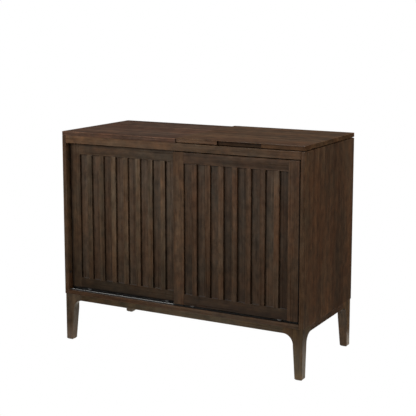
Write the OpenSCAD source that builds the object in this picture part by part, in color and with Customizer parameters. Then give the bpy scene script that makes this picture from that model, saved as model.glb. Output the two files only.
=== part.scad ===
// Record player cabinet: two fluted doors that slide past each other, a fixed top
// on the left, a lift-up lid over the turntable well on the right, and a low base
// frame whose square tapered legs run into the aprons through curved knees.
// Millimetres. X runs to the right, Y to the back, Z up. The origin is on the
// floor, under the middle of the whole cabinet with its hinge barrels.

/* [Case] */
// Width over the side panels
case_w = 1000; // [900:10:1200]
// Depth from the front plane to the rear edge of the tops
case_d = 458; // [440:2:520]
// Height of the case, from its underside to the face of the fixed top
case_h = 632; // [600:4:720]
// Thickness of the side panels
side_t = 16; // [14:1:20]
// Thickness of the fixed top
top_t = 16; // [14:1:20]
// Thickness of the bottom panel
bottom_t = 16; // [15:1:20]
// Thickness of the centre divider
divider_t = 16; // [14:1:20]
// Thickness of both shelves
shelf_t = 16; // [14:1:20]
// Thickness of the back panels
back_t = 5; // [4:0.5:6]
// How far the back panels lie inside the rear edges
back_inset = 4; // [3:0.5:6]
// How far the back panels reach into their rebates
rebate_w = 8; // [6:1:10]
// Width of the eased arris on every board that shows
ease = 1; // [0.5:0.1:1.5]

/* [Rails] */
// Height of the front rail under the tops
front_rail_h = 28; // [26:1:36]
// Depth of the front rail, which carries the upper track
front_rail_d = 50; // [48:1:60]
// Height of the rear rail, which carries the lid hinges
rear_rail_h = 40; // [32:1:50]
// Thickness of the rear rail
rear_rail_t = 18; // [18:1:24]

/* [Inside] */
// Free height of the well between the turntable shelf and the lid. The record
// bays get what is left under the shelf
well_h = 227; // [215:1:250]
// Number of upright record dividers
record_dividers_n = 2; // [1:1:4]
// Thickness of a record divider
record_divider_t = 9; // [6:1:12]
// Setback of the loose shelf and the record dividers behind the front rail
inner_setback = 10; // [5:1:20]
// Diameter of a shelf pin
shelf_pin_d = 5; // [4:0.5:6]
// Depth of a shelf pin in its hole
shelf_pin_in = 9; // [7:1:11]
// How far a shelf pin stands out of its hole
shelf_pin_out = 9; // [7:1:12]
// Spacing of the shelf pin holes
pin_pitch = 32; // [25:1:40]
// Number of pin holes in each row
pin_rows = 7; // [3:1:8]
// Hole that the shelf stands on, counted from the lowest
shelf_row = 4; // [0:1:6]
// Height of the lowest pin hole above the bottom panel
pin_first = 160; // [120:5:180]
// Distance of the pin rows from the front and rear edges of the shelf
pin_edge = 45; // [30:5:80]
// Play between the loose shelf and the panels beside it
shelf_play = 1; // [0.5:0.5:2]

/* [Cable ports] */
// Inner diameter of a cable grommet
grommet_bore = 55; // [40:1:60]
// Wall of a cable grommet
grommet_wall = 2.5; // [2:0.5:4]
// Width of the grommet flange beyond its sleeve
grommet_flange = 4; // [3:0.5:6]
// Thickness of the grommet flange
grommet_flange_t = 2; // [1.5:0.5:3]
// Height of the cable ports above the turntable shelf
port_up = 64; // [50:2:100]
// Diameter of the cable pass through the divider
pass_d = 50; // [40:1:60]
// Distance of the cable pass from the back panels
pass_from_back = 52; // [40:2:90]

/* [Lid] */
// Gap between the resting lid and the case, filled by the hinge leaves
lid_gap = 3; // [3:0.1:4]
// Thickness of the lid
lid_t = 16; // [15:1:20]
// Seam between the fixed top and the lid
seam = 2; // [1.5:0.5:4]
// Width of the finger pull in the front edge of the lid
pull_w = 172; // [120:4:220]
// Radius of the cove of the finger pull
pull_r = 8; // [7:0.5:8.5]
// Thickness of the lip over the finger pull
pull_lip = 2; // [1.5:0.5:4]
// How far the lid opens, in degrees
lid_open_deg = 80; // [70:1:85]

/* [Lid hinges] */
// Length of a hinge leaf
hinge_l = 64; // [50:2:80]
// Width of a hinge leaf on the wood
hinge_leaf_w = 16; // [14:1:17]
// Thickness of a hinge leaf
hinge_leaf_t = 1.2; // [1:0.1:1.4]
// Radius of the hinge barrel
barrel_r = 3; // [2.5:0.1:3.5]
// Radius of the hinge pin
pin_r = 1.5; // [1.2:0.1:1.7]
// Distance of each hinge from the middle of the lid
hinge_spread = 150; // [100:5:180]

/* [Lid stay] */
// Least clearance of the arm over the turntable shelf when the lid is shut
stay_tip_gap = 11; // [5:1:20]
// Drop of the pivot on the lid below the lid's underside
stay_drop = 14; // [12:1:18]
// Angle at the hinge axis between the pivot and the stud when the lid is shut
stay_shut_deg = 11.5; // [11:0.5:13]
// Width of the stay arm
arm_w = 16; // [14:1:18]
// Thickness of the stay arm
arm_t = 3; // [2:0.5:3]
// Diameter of the stud that runs in the slot
stud_d = 6; // [5:0.5:7]
// Diameter of the rivet that holds the arm to the lid
rivet_d = 5; // [4:0.5:6]
// Thickness of the plates of the stay
plate_t = 2; // [1.5:0.5:2.5]

/* [Doors] */
// Gap between a shut door and the side panel
door_side_gap = 3; // [2:0.5:5]
// Overlap of the two doors in the middle
door_overlap = 30; // [20:2:60]
// Thickness of the doors
door_t = 18; // [18:1:19]
// Setback of the right door behind the front plane
door_setback = 4; // [2:0.5:5]
// Gap between the two doors where they pass
door_pass_gap = 3; // [2:0.5:4]
// Gap under the doors
door_bottom_gap = 8; // [7:0.5:9]
// Gap over the doors
door_top_gap = 4; // [3:0.5:8]
// Width of the door stiles
stile_w = 43; // [36:1:60]
// Height of the door rails
door_rail_h = 40; // [36:1:60]
// Number of flutes in each door
flutes = 8; // [5:1:10]
// Width of a slat between two flutes
slat_w = 20; // [16:1:28]
// Depth of the flutes, which is the thickness of the slats
flute_depth = 8; // [7:0.5:10]
// Thickness of the panel behind the slats
door_panel_t = 5; // [4:0.5:5]
// Depth of the groove in the frame that holds the panel
groove_depth = 8; // [6:0.5:10]

/* [Tracks and rollers] */
// Height of the lower track above the bottom panel
rib_up = 4; // [3.5:0.1:5]
// Diameter of the bead on top of the lower track
bead_d = 3; // [2.5:0.1:3.5]
// Thickness of the stem of the lower track
rib_t = 2; // [1.5:0.1:2]
// Depth of the stem in the bottom panel
rib_in = 7; // [5:0.5:9]
// Width of the channels of the upper track
channel_w = 10; // [9:0.5:11]
// Wall of the upper track
track_wall = 1.5; // [1.2:0.1:2]
// Height of the upper track
track_h = 9; // [8:0.5:10]
// Distance of the rollers and guides from the ends of the door
roller_inset = 75; // [72:1:110]
// Height of the roller axle above the underside of the door
axle_up = 7; // [6:0.5:8]
// Width of a roller
roller_w = 8; // [6:0.5:8]
// Diameter of a roller axle
axle_d = 4; // [3:0.5:5]
// Wall of the roller housing beside the roller
housing_wall = 1.4; // [1.2:0.1:1.6]
// Diameter of the stem of a top guide
guide_stem_d = 6; // [5:0.5:7]
// Length of the stem of a top guide
guide_stem_l = 20; // [14:1:24]
// How far a top guide reaches into the channel
guide_in = 3; // [2.5:0.5:4]

/* [Base] */
// Height of the base under the case
base_h = 184; // [160:2:220]
// Setback of the base from the case, all round
base_inset = 2; // [0:0.5:6]
// Height of the aprons
apron_h = 21.5; // [20:0.5:40]
// Thickness of the aprons
apron_t = 20; // [18:1:24]
// Width of a leg at the foot
foot_w = 28; // [26:1:32]
// Width of a leg under the knee
leg_w = 36; // [33:1:44]
// Radius of the curved knee between leg and apron
knee_r = 38; // [25:1:50]
// Chamfer round the end of a foot
foot_chamfer = 4; // [2:0.5:5]
// Diameter of a foot glide
glide_d = 16; // [14:1:17]
// How far a foot glide stands out of the leg
glide_out = 1; // [1:0.5:3]
// How far a foot glide is let into the leg
glide_in = 2; // [1:0.5:4]

/* [Fasteners] */
// Diameter of a dowel
dowel_d = 8; // [6:0.5:8]
// Length of a dowel
dowel_l = 30; // [26:1:32]
// Depth of a dowel in the face of a panel
dowel_face = 11; // [9:0.5:12]
// Diameter of a wood screw
screw_d = 3.5; // [3:0.5:4]
// Diameter of a leg bolt
bolt_d = 6; // [5:0.5:8]

/* [Fits] */
// Play of a board in its groove or rebate
board_fit = 0.3; // [0.2:0.05:0.5]
// Play of a fastener in its hole, on the diameter
hole_fit = 0.1; // [0.05:0.05:0.3]
// Running gap between pieces that slide or roll past each other
run_gap = 0.3; // [0.2:0.05:0.4]
// Radial gap of a pin in a bore that turns on it
pin_gap = 0.05; // [0.02:0.01:0.1]

/* [Hidden] */
$fn = 48;
eps = 0.01;
through = 1;

walnut = [0.30, 0.22, 0.16];
walnut_dark = [0.24, 0.17, 0.12];
walnut_end = [0.34, 0.26, 0.20];
aluminium = [0.75, 0.75, 0.76];
zinc = [0.62, 0.62, 0.60];
nylon = [0.86, 0.85, 0.82];
black_plastic = [0.10, 0.10, 0.10];
brown_rubber = [0.20, 0.17, 0.15];
beech = [0.76, 0.62, 0.45];

// Places across the width
half_w = case_w / 2;
inner_x = half_w - side_t;
divider_x = divider_t / 2;

// Heights
bottom_z = base_h;
floor_z = base_h + bottom_t;
case_top_z = base_h + case_h;
carcass_z = case_top_z - top_t;
rail_z = carcass_z - front_rail_h;
rear_rail_z = carcass_z - rear_rail_h;
lid_z = carcass_z + lid_gap;
lid_top_z = lid_z + lid_t;
well_z = lid_z - well_h;
shelf_z = well_z - shelf_t;
port_z = well_z + port_up;

// Depths behind the front plane
back_y = case_d - back_inset - back_t;
rear_rail_y = case_d - rear_rail_t;
inner_y = front_rail_d + inner_setback;
front_door_y = door_setback;
rear_door_y = front_door_y + door_t + door_pass_gap;
track_ys = [front_door_y + door_t / 2, rear_door_y + door_t / 2];

// Lid hinge axis, half way up the gap and clear of the rear edges
hinge_y = case_d + barrel_r + run_gap;
hinge_z = carcass_z + lid_gap / 2;
overall_d = hinge_y + barrel_r;
lid_mid_x = (seam / 2 + half_w) / 2;
hinge_xs = [lid_mid_x - hinge_spread, lid_mid_x + hinge_spread];

// Doors
door_w = inner_x - door_side_gap + door_overlap / 2;
door_z = floor_z + door_bottom_gap;
door_h = rail_z - door_top_gap - door_z;
flute_w = (door_w - 2 * stile_w - (flutes - 1) * slat_w) / flutes;
left_door_x = -inner_x + door_side_gap;
right_door_x = inner_x - door_side_gap - door_w;
roller_xs = [roller_inset, door_w - roller_inset];

// Grooved rollers over the bead of the lower track. The root of the groove is what
// rolls: one turn of a roller carries its door 2 * PI * rolling_r
bead_z = floor_z + rib_up - bead_d / 2;
axle_over_bead = door_z + axle_up - bead_z;
groove_r = bead_d / 2 + run_gap;
rolling_r = axle_over_bead - groove_r;
flange_short = 0.1;
roller_r = axle_over_bead - flange_short;
roller_hub_wall = 2.5;
roller_rim = 4;
roller_web_w = roller_w - 3;
roller_end_gap = 1.5;
roller_top_gap = 1;
housing_w = roller_w + 2 * run_gap + 2 * housing_wall;
housing_end = 8.5;
housing_roof = 2.5;
housing_l = 2 * (roller_r + roller_end_gap + housing_end);
housing_h = axle_up + roller_r + roller_top_gap + housing_roof;

// Upper track, with its outer channels over the doors
track_y0 = track_ys[0] - channel_w / 2 - track_wall;
track_y1 = track_ys[1] + channel_w / 2 + track_wall;
guide_d = channel_w - 2 * run_gap;

// Base
apron_z = base_h - apron_h;
ear_end = leg_w + knee_r;
base_x = half_w - base_inset;
base_mid_z = base_h - apron_h / 2;
block_near = leg_w + apron_t + 6;
block_far = block_near + 26;
screw_head_d = 2 * screw_d;
screw_head_h = 0.6 * screw_d;

// Lid stay: the triangle from hinge axis to pivot to stud has two equal sides,
// so the arm turns on the lid by exactly half the angle that the lid opens. Under
// the shut lid the arm hangs almost straight down, so the well sets its reach
stay_half = (stay_shut_deg + lid_open_deg) / 2;
stay_hang = well_h - stay_drop - stay_tip_gap - arm_w / 2 - run_gap;
stay_reach = stay_hang / (2 * sin(stay_half));
stay_tilt = asin((stay_drop - lid_gap / 2) / stay_reach);
pivot_y = hinge_y - stay_reach * cos(stay_tilt);
pivot_z = hinge_z - stay_reach * sin(stay_tilt);
stud_y = hinge_y - stay_reach * cos(stay_tilt + stay_shut_deg);
stud_z = hinge_z - stay_reach * sin(stay_tilt + stay_shut_deg);
slot_near = 2 * stay_reach * sin(stay_shut_deg / 2);
slot_far = 2 * stay_reach * sin(stay_half);
arm_turn = atan2(stud_z - pivot_z, stud_y - pivot_y);
washer_t = 2;
slot_spare = 2;
arm_x = inner_x - plate_t - washer_t - arm_t;
ear_x = arm_x - run_gap - plate_t;

// Joints with dowels: the middle of each dowel and the way it points
dowel_shift = dowel_l / 2 - dowel_face;
top_dowel_end = 80;
bottom_dowel_end = block_far + 12;
shelf_dowel_end = 50;
rear_rail_dowel_drop = 6;
top_dowel_ys = [top_dowel_end, case_d - top_dowel_end];
bottom_dowel_ys = [bottom_dowel_end, case_d / 2, case_d - bottom_dowel_end];
shelf_dowel_ys = [front_rail_d + shelf_dowel_end, back_y - shelf_dowel_end];
rail_dowel_z = carcass_z - 10;
case_dowels = [
    for (s = [-1, 1], y = bottom_dowel_ys)
        [[s * (inner_x - dowel_shift), y, base_h + bottom_t / 2], [0, 90, 0]],
    for (s = [-1, 1]) [[s * (inner_x - dowel_shift), front_rail_d / 2, rail_dowel_z], [0, 90, 0]],
    for (s = [-1, 1])
        [[s * (inner_x - dowel_shift), case_d - rear_rail_t / 2, rail_dowel_z - rear_rail_dowel_drop],
         [0, 90, 0]],
    for (y = shelf_dowel_ys) [[0, y, floor_z + dowel_shift], [0, 0, 0]],
    for (y = shelf_dowel_ys)
        [[inner_x - dowel_shift, y, shelf_z + shelf_t / 2], [0, 90, 0]],
    for (y = shelf_dowel_ys)
        [[divider_x + dowel_shift, y, shelf_z + shelf_t / 2], [0, 90, 0]],
    for (y = top_dowel_ys) [[-half_w + side_t / 2, y, carcass_z - dowel_shift], [0, 0, 0]]
];

// Shared shapes

// Moves what is drawn behind the front plane to the cabinet's own origin
module in_case() {
    translate([0, -overall_d / 2, 0]) children();
}

// A plain board between two limits on each axis
module board(x, y, z) {
    translate([x[0], y[0], z[0]]) cube([x[1] - x[0], y[1] - y[0], z[1] - z[0]]);
}

// A rectangle with its corners cut off at 45 degrees
module eased_rect(w, h, c = ease) {
    polygon([[c, 0], [w - c, 0], [w, c], [w, h - c], [w - c, h], [c, h], [0, h - c], [0, c]]);
}

// A board with all its arrises eased
module eased_board(x, y, z) {
    w = x[1] - x[0];
    d = y[1] - y[0];
    h = z[1] - z[0];
    translate([x[0], y[0], z[0]]) intersection() {
        linear_extrude(h) eased_rect(w, d);
        translate([0, d, 0]) rotate([90, 0, 0]) linear_extrude(d) eased_rect(w, h);
        rotate([90, 0, 90]) linear_extrude(w) eased_rect(d, h);
    }
}

// A bar along X whose outline is drawn in Y and Z
module along_x(x) {
    translate([x[0], 0, 0]) rotate([90, 0, 90]) linear_extrude(x[1] - x[0]) children();
}

// A rod from a point along +X, +Y or +Z, given by the turn that lays it down
module rod(p, turn, d, l) {
    translate(p) rotate(turn) cylinder(d = d, h = l);
}

module dowel_set(list, play = 0) {
    for (j = list)
        translate(j[0]) rotate(j[1]) cylinder(d = dowel_d + play, h = dowel_l + 2 * play, center = true);
}

// A countersunk wood screw that points along +Z, with its head's face at z 0
module flat_screw(l) {
    cylinder(d1 = screw_head_d, d2 = screw_d, h = screw_d / 2);
    cylinder(d = screw_d, h = l);
}

module flat_screw_hole(l) {
    translate([0, 0, -eps])
        cylinder(d1 = screw_head_d + hole_fit, d2 = screw_d + hole_fit, h = screw_d / 2 + eps);
    cylinder(d = screw_d + hole_fit, h = l + hole_fit);
}

// A pan-head screw that points along +Z, with the underside of its head at z 0
module pan_screw(l) {
    translate([0, 0, -screw_head_h]) cylinder(d = screw_head_d, h = screw_head_h);
    cylinder(d = screw_d, h = l);
}

module pan_screw_hole(l) {
    translate([0, 0, -through]) cylinder(d = screw_d + hole_fit, h = l + through + hole_fit);
}

// Base frame

// Stands a leg's own corner frame, X and Y inwards, at one corner of the base
module at_corner(right, rear) {
    translate([right ? base_x : -base_x, rear ? case_d - base_inset : base_inset, 0])
        mirror([right ? 1 : 0, 0, 0]) mirror([0, rear ? 1 : 0, 0]) children();
}

module at_every_corner() {
    for (right = [false, true], rear = [false, true]) at_corner(right, rear) children();
}

// Side view of a leg: outer face upright, inner face tapered, curved knee on top
module leg_outline() {
    c = foot_chamfer;
    z0 = glide_out;
    difference() {
        polygon([
            [c, z0], [0, z0 + c], [0, base_h], [ear_end, base_h], [ear_end, apron_z - knee_r],
            [leg_w, apron_z - knee_r], [foot_w, z0 + c], [foot_w - c, z0]
        ]);
        translate([ear_end, apron_z - knee_r]) circle(r = knee_r);
    }
}

// Plan of a leg: the square post and its two ears as thick as the aprons
module leg_plan() {
    polygon([
        [ease, 0], [ear_end, 0], [ear_end, apron_t], [leg_w, apron_t], [leg_w, leg_w],
        [apron_t, leg_w], [apron_t, ear_end], [0, ear_end], [0, ease]
    ]);
}

bolt_from = 16;
bolt_to = (apron_t + block_far) / 2 + 7;
bolt_l = (bolt_to - bolt_from) * sqrt(2);
nut_at = (apron_t + block_far) / 2;

module leg_bolt_rod(play = 0) {
    rod([bolt_from, bolt_from, base_mid_z], [0, 90, 45], bolt_d + play, bolt_l);
}

module corner_dowels(play = 0) {
    dowel_set([
        [[ear_end, apron_t / 2, base_mid_z], [0, 90, 0]],
        [[apron_t / 2, ear_end, base_mid_z], [90, 0, 0]]
    ], play);
}

module leg(right, rear) {
    in_case() color(walnut) at_corner(right, rear) difference() {
        intersection() {
            translate([0, ear_end, 0]) rotate([90, 0, 0]) linear_extrude(ear_end) leg_outline();
            rotate([90, 0, 90]) linear_extrude(ear_end) leg_outline();
            linear_extrude(base_h) leg_plan();
        }
        corner_dowels(hole_fit);
        leg_bolt_rod(hole_fit);
        translate([foot_w / 2, foot_w / 2, -eps])
            cylinder(d = glide_d + hole_fit, h = glide_out + glide_in + eps);
    }
}

module front_left_leg() { leg(false, false); }
module front_right_leg() { leg(true, false); }
module rear_left_leg() { leg(false, true); }
module rear_right_leg() { leg(true, true); }

// Aprons run from ear to ear, flush with the outer faces of the legs
module long_apron(rear) {
    y0 = rear ? case_d - base_inset - apron_t : base_inset;
    in_case() color(walnut) difference() {
        board([-base_x + ear_end, base_x - ear_end], [y0, y0 + apron_t], [apron_z, base_h]);
        at_every_corner() corner_dowels(hole_fit);
    }
}

module short_apron(right) {
    x0 = right ? base_x - apron_t : -base_x;
    in_case() color(walnut) difference() {
        board([x0, x0 + apron_t], [base_inset + ear_end, case_d - base_inset - ear_end], [apron_z, base_h]);
        at_every_corner() corner_dowels(hole_fit);
    }
}

module front_apron() { long_apron(false); }
module rear_apron() { long_apron(true); }
module left_apron() { short_apron(false); }
module right_apron() { short_apron(true); }

// Middle rail from apron to apron that keeps the bottom panel from sagging
module base_cross_rail() {
    in_case() color(walnut_dark)
        board([-apron_t / 2, apron_t / 2], [base_inset + apron_t, case_d - base_inset - apron_t],
              [apron_z, base_h]);
}

// A brace across each corner, screwed up into the bottom panel. The screws end
// short of the grooves that the lower tracks stand in
screw_cover = 2;
block_screw_l = apron_h - through + bottom_t - rib_in - screw_cover;
block_screws = [
    for (t = [0.25, 0.75])
        let (near = apron_t + t * (block_near - apron_t), far = apron_t + t * (block_far - apron_t))
            [(near + far) / 2, (block_near + block_far) / 2 + apron_t - (near + far) / 2]
];

module at_block_screws() {
    for (p = block_screws) translate([p[0], p[1], apron_z + through]) children();
}

module corner_blocks() {
    in_case() color(beech) at_every_corner() difference() {
        translate([0, 0, apron_z + through]) linear_extrude(apron_h - through) polygon([
            [apron_t, block_near], [block_near, apron_t], [block_far, apron_t], [apron_t, block_far]
        ]);
        leg_bolt_rod(hole_fit);
        at_block_screws() pan_screw_hole(block_screw_l);
    }
}

module leg_bolts() {
    in_case() color(zinc) at_every_corner() {
        leg_bolt_rod();
        translate([nut_at, nut_at, base_mid_z]) rotate([0, 90, 45]) {
            cylinder(d = 2.2 * bolt_d, h = bolt_d / 5);
            translate([0, 0, bolt_d / 5]) cylinder(d = 1.9 * bolt_d, h = 0.8 * bolt_d, $fn = 6);
        }
    }
}

module foot_glides() {
    in_case() color(black_plastic) at_every_corner()
        translate([foot_w / 2, foot_w / 2, 0]) {
            cylinder(d1 = glide_d - 1, d2 = glide_d, h = glide_out);
            translate([0, 0, glide_out]) cylinder(d = glide_d, h = glide_in);
        }
}

// Case

shelf_back_gap = 9;
shelf_back_y = back_y - shelf_back_gap;
pin_ys = [inner_y + pin_edge, shelf_back_y - pin_edge];

module at_pin_holes() {
    for (y = pin_ys, k = [0 : pin_rows - 1])
        translate([0, y, floor_z + pin_first + k * pin_pitch]) children();
}

module pin_hole() {
    rotate([0, 90, 0])
        cylinder(d = shelf_pin_d + hole_fit, h = 2 * (shelf_pin_in + hole_fit), center = true);
}

module back_rebate() {
    board([-inner_x - rebate_w, inner_x + rebate_w], [back_y, case_d + through],
          [floor_z - rebate_w, rear_rail_z + rebate_w]);
}

back_screw_l = 13;
back_screw_xs = [-inner_x - rebate_w / 2, -divider_x / 2, divider_x / 2, inner_x + rebate_w / 2];
back_screw_n = 4;
back_screw_end = 30;
back_screw_pitch = (rear_rail_z - floor_z - 2 * back_screw_end) / (back_screw_n - 1);

module at_back_screws() {
    for (x = back_screw_xs, k = [0 : back_screw_n - 1])
        translate([x, back_y + back_t, floor_z + back_screw_end + k * back_screw_pitch])
            rotate([90, 0, 0]) children();
}

module side_panel(s) {
    x = s < 0 ? [-half_w, -inner_x] : [inner_x, half_w];
    difference() {
        eased_board(x, [0, case_d], [base_h, carcass_z]);
        back_rebate();
        dowel_set(case_dowels, hole_fit);
        at_back_screws() pan_screw_hole(back_screw_l);
    }
}

module left_side_panel() {
    in_case() color(walnut) difference() {
        side_panel(-1);
        translate([-inner_x, 0, 0]) at_pin_holes() pin_hole();
    }
}

stay_plate_h = 34;
stay_plate_w = 22;
stay_screw_l = 12;
stud_screw_end = 6;

module at_stud_screws() {
    for (s = [-1, 1])
        translate([inner_x - plate_t, stud_y, stud_z + s * (stay_plate_h / 2 - stud_screw_end)])
            rotate([0, 90, 0]) children();
}

module right_side_panel() {
    in_case() color(walnut) difference() {
        side_panel(1);
        at_stud_screws() flat_screw_hole(stay_screw_l);
    }
}

// Outline in Y and Z of one lower track: a bead on a stem
module rib_outline() {
    translate([-rib_t / 2, floor_z - rib_in]) square([rib_t, rib_in + rib_up - bead_d / 2]);
    translate([0, bead_z]) circle(d = bead_d);
}

module bottom_panel() {
    in_case() color(walnut) difference() {
        eased_board([-inner_x, inner_x], [0, case_d], [base_h, floor_z]);
        back_rebate();
        dowel_set(case_dowels, hole_fit);
        for (y = track_ys)
            board([-half_w, half_w], [y - rib_t / 2 - hole_fit, y + rib_t / 2 + hole_fit],
                  [floor_z - rib_in - hole_fit, floor_z + through]);
        at_every_corner() at_block_screws() pan_screw_hole(block_screw_l);
    }
}

module centre_divider() {
    in_case() color(walnut_dark) difference() {
        board([-divider_x, divider_x], [front_rail_d, back_y], [floor_z, carcass_z]);
        board([-half_w, half_w], [rear_rail_y, case_d], [rear_rail_z, carcass_z + through]);
        dowel_set(case_dowels, hole_fit);
        translate([-divider_x, 0, 0]) at_pin_holes() pin_hole();
        rod([-divider_x - through, back_y - pass_from_back, port_z], [0, 90, 0], pass_d,
            divider_t + 2 * through);
        at_back_screws() pan_screw_hole(back_screw_l);
    }
}

module fixed_top() {
    in_case() color(walnut) difference() {
        eased_board([-half_w, -seam / 2], [0, case_d], [carcass_z, case_top_z]);
        dowel_set(case_dowels, hole_fit);
    }
}

track_screw_end = 60;
track_screw_xs = [for (k = [-1.5 : 1 : 1.5]) k * 2 * (inner_x - track_screw_end) / 3];
track_screw_l = 14;

module at_track_screws() {
    for (x = track_screw_xs)
        translate([x, (track_y0 + track_y1) / 2, rail_z + track_h - track_wall]) children();
}

module front_rail() {
    in_case() color(walnut) difference() {
        eased_board([-inner_x, inner_x], [0, front_rail_d], [rail_z, carcass_z]);
        board([-half_w, half_w], [track_y0 - hole_fit, track_y1 + hole_fit],
              [rail_z - through, rail_z + track_h]);
        dowel_set(case_dowels, hole_fit);
        at_track_screws() pan_screw_hole(track_screw_l);
    }
}

hinge_screw_end = 9;
hinge_screw_stagger = 2;

module at_hinge_screws() {
    for (x = hinge_xs, k = [-1 : 1])
        translate([x + k * (hinge_l / 2 - hinge_screw_end),
                   case_d - hinge_leaf_w / 2 - abs(k) * hinge_screw_stagger, 0]) children();
}

hinge_case_screw_l = 20;
hinge_lid_screw_l = 12;

module rear_rail() {
    in_case() color(walnut_dark) difference() {
        board([-inner_x, inner_x], [rear_rail_y, case_d], [rear_rail_z, carcass_z]);
        back_rebate();
        dowel_set(case_dowels, hole_fit);
        translate([0, 0, carcass_z + hinge_leaf_t]) mirror([0, 0, 1]) at_hinge_screws()
            flat_screw_hole(hinge_case_screw_l);
    }
}

port_xs = [-(divider_x + inner_x) / 2, (divider_x + inner_x) / 2];
sleeve_d = grommet_bore + 2 * grommet_wall;

// Thin panel in its rebates, screwed to the side panel and to the divider
module back_panel(s) {
    side = inner_x + rebate_w - board_fit;
    x = s < 0 ? [-side, -board_fit / 2] : [board_fit / 2, side];
    z = [floor_z - rebate_w + board_fit, rear_rail_z + rebate_w - board_fit];
    in_case() color(walnut_dark) difference() {
        board(x, [back_y, back_y + back_t], z);
        for (px = port_xs) rod([px, case_d, port_z], [90, 0, 0], sleeve_d + hole_fit, case_d / 2);
        at_back_screws() pan_screw_hole(back_screw_l);
    }
}

module left_back_panel() { back_panel(-1); }
module right_back_panel() { back_panel(1); }

module back_panel_screws() {
    in_case() color(zinc) at_back_screws() pan_screw(back_screw_l);
}

// Flanged rings that line the cable ports
sleeve_out = 3;
grommet_l = back_t + grommet_flange_t + sleeve_out;

module cable_grommets() {
    in_case() color(black_plastic) for (x = port_xs)
        translate([x, back_y + back_t + grommet_flange_t, port_z]) rotate([90, 0, 0]) difference() {
            union() {
                cylinder(d = sleeve_d + 2 * grommet_flange, h = grommet_flange_t);
                cylinder(d = sleeve_d, h = grommet_l);
            }
            translate([0, 0, -through]) cylinder(d = grommet_bore, h = grommet_l + 2 * through);
        }
}

module turntable_shelf() {
    in_case() color(walnut_dark) difference() {
        board([divider_x, inner_x], [front_rail_d, back_y], [shelf_z, well_z]);
        dowel_set(case_dowels, hole_fit);
    }
}

loose_shelf_z = floor_z + pin_first + shelf_row * pin_pitch + shelf_pin_d / 2 + hole_fit;

module adjustable_shelf() {
    in_case() color(walnut_dark)
        board([-inner_x + shelf_play, -divider_x - shelf_play], [inner_y, shelf_back_y],
              [loose_shelf_z, loose_shelf_z + shelf_t]);
}

module shelf_pins() {
    z = floor_z + pin_first + shelf_row * pin_pitch;
    l = shelf_pin_in + shelf_pin_out;
    in_case() color(zinc) for (y = pin_ys) {
        rod([-inner_x - shelf_pin_in, y, z], [0, 90, 0], shelf_pin_d, l);
        rod([-divider_x - shelf_pin_out, y, z], [0, 90, 0], shelf_pin_d, l);
    }
}

module record_dividers() {
    pitch = (inner_x - divider_x) / (record_dividers_n + 1);
    half_t = record_divider_t / 2;
    in_case() color(walnut_dark) for (k = [1 : record_dividers_n])
        board([divider_x + k * pitch - half_t, divider_x + k * pitch + half_t],
              [inner_y, back_y], [floor_z, shelf_z]);
}

// Door tracks

module upper_track() {
    mid = (track_y0 + track_y1) / 2;
    mid_w = track_y1 - track_y0 - 4 * track_wall - 2 * channel_w;
    roof = track_h - track_wall;
    in_case() color(aluminium) difference() {
        board([-inner_x, inner_x], [track_y0, track_y1], [rail_z, rail_z + track_h]);
        for (y = track_ys)
            board([-half_w, half_w], [y - channel_w / 2, y + channel_w / 2],
                  [rail_z - through, rail_z + roof]);
        board([-half_w, half_w], [mid - mid_w / 2, mid + mid_w / 2], [rail_z - through, rail_z + roof]);
        at_track_screws() pan_screw_hole(track_screw_l);
    }
}

module lower_tracks() {
    in_case() color(aluminium) for (y = track_ys)
        translate([0, y, 0]) along_x([-inner_x + run_gap, inner_x - run_gap]) rib_outline();
}

module dowels() {
    in_case() color(beech) {
        dowel_set(case_dowels);
        at_every_corner() corner_dowels();
    }
}

// Small blunt cones that the lid rests on
bumper_d = 8;
lid_bumper_ps = [
    [divider_x / 2, inner_y], [divider_x / 2, case_d / 2],
    [inner_x + side_t / 2, inner_y], [inner_x + side_t / 2, case_d / 2]
];

module lid_bumpers() {
    h = lid_gap - run_gap;
    in_case() color(brown_rubber) for (p = lid_bumper_ps)
        translate([p[0], p[1], carcass_z]) cylinder(d1 = bumper_d * 0.8, d2 = bumper_d * 0.6, h = h);
}

door_bumper_end = 60;

module door_bumpers() {
    h = door_side_gap - run_gap;
    zs = [door_z + door_bumper_end, door_z + door_h - door_bumper_end];
    in_case() color(brown_rubber) for (y = track_ys, z = zs) {
        rod([-inner_x, y, z], [0, 90, 0], bumper_d, h);
        rod([inner_x, y, z], [0, -90, 0], bumper_d, h);
    }
}

// Lid hinges

knuckle_l = hinge_l / 3;

module barrel(x0, x1) {
    rod([x0, hinge_y, hinge_z], [0, 90, 0], 2 * barrel_r, x1 - x0);
}

// One leaf: a plate on the wood and a tongue that reaches each of its knuckles
module leaf(x, z0, knuckles) {
    difference() {
        union() {
            board([x - hinge_l / 2, x + hinge_l / 2], [case_d - hinge_leaf_w, case_d - run_gap],
                  [z0, z0 + hinge_leaf_t]);
            for (k = knuckles) {
                x0 = x - hinge_l / 2 + k * knuckle_l + (k > 0 ? run_gap / 2 : 0);
                x1 = x - hinge_l / 2 + (k + 1) * knuckle_l - (k < 2 ? run_gap / 2 : 0);
                board([x0, x1], [case_d - barrel_r, hinge_y], [z0, z0 + hinge_leaf_t]);
                barrel(x0, x1);
            }
        }
        rod([x - hinge_l, hinge_y, hinge_z], [0, 90, 0], 2 * (pin_r + pin_gap), 2 * hinge_l);
    }
}

module hinge_case_leaves() {
    in_case() color(zinc) difference() {
        for (x = hinge_xs) leaf(x, carcass_z, [0, 2]);
        translate([0, 0, carcass_z + hinge_leaf_t]) mirror([0, 0, 1]) at_hinge_screws()
            flat_screw_hole(hinge_case_screw_l);
    }
}

module hinge_lid_leaves() {
    in_case() color(zinc) difference() {
        for (x = hinge_xs) leaf(x, lid_z - hinge_leaf_t, [1]);
        translate([0, 0, lid_z - hinge_leaf_t]) at_hinge_screws() flat_screw_hole(hinge_lid_screw_l);
    }
}

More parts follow.
